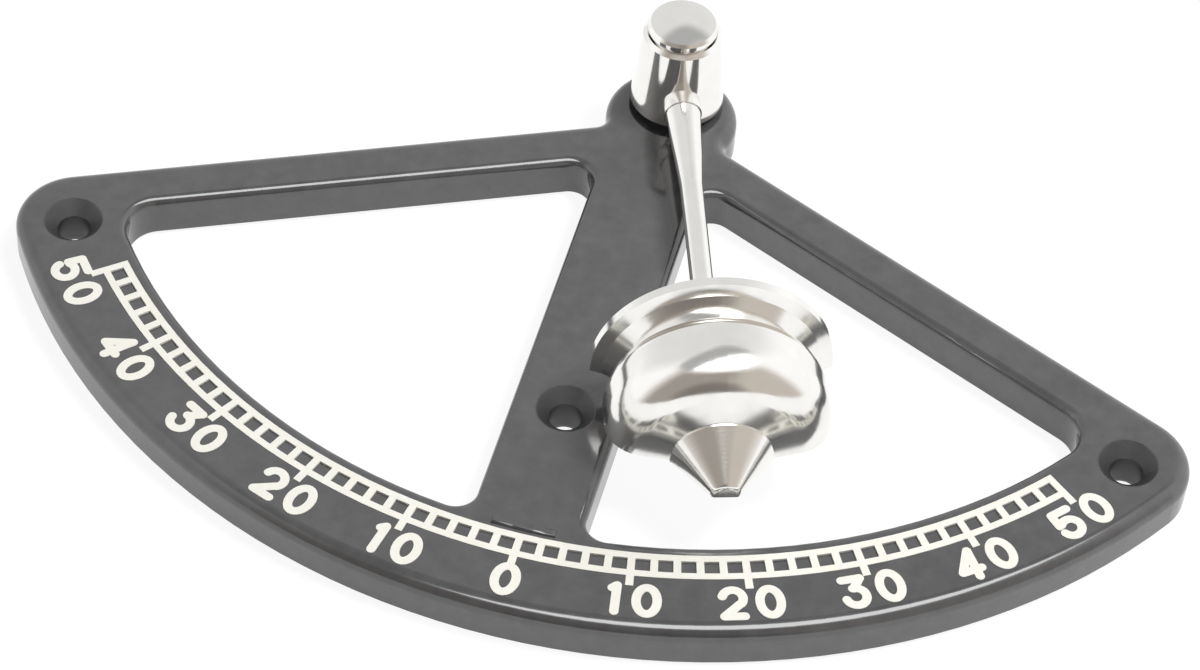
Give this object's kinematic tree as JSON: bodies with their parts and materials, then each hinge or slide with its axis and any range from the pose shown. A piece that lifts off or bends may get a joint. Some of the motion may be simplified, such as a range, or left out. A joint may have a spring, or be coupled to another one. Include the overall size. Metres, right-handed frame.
{
  "type": "pendulum inclinometer",
  "caption": "Pendulum inclinometer: a sector frame with an arc ladder scale and a weighted pendulum that swings from a post at its apex and points at the scale.",
  "frame": {"origin": "axis of the spoke's screw hole, in the plane of the flat back", "axes": "+Z out of the dial, towards the reader; +Y from the rim to the pivot; +X to the right of the dial"},
  "size_m": [0.1638, 0.1026, 0.0277],
  "materials": {
    "frame_enamel": "glossy black enamel on a casting",
    "scale_ivory": "ivory paint",
    "bright_chrome": "polished bright plating",
    "stud_steel": "ground steel",
    "fastener_steel": "zinc-plated steel",
    "bush_brass": "turned brass"
  },
  "bodies": {
    "frame_set": {"frame": "frame_enamel", "graduation_ladder": "scale_ivory", "pivot_stud": "stud_steel", "rear_washer": "fastener_steel", "rear_nut": "fastener_steel", "base_washer": "bright_chrome", "cap_washer": "bright_chrome", "pivot_cap": "bright_chrome"},
    "pendulum": {"pendulum_hub": "bright_chrome", "hub_bush": "bush_brass", "pendulum_rod": "bright_chrome", "bob": "bright_chrome", "pointer": "bright_chrome"}
  },
  "joints": [
    {"name": "pendulum_swing", "type": "hinge", "parent": "frame_set", "child": "pendulum", "pos_m": [0, 0.0609, 0.0128], "axis": [0, 0, 1], "continuous": true}
  ]
}
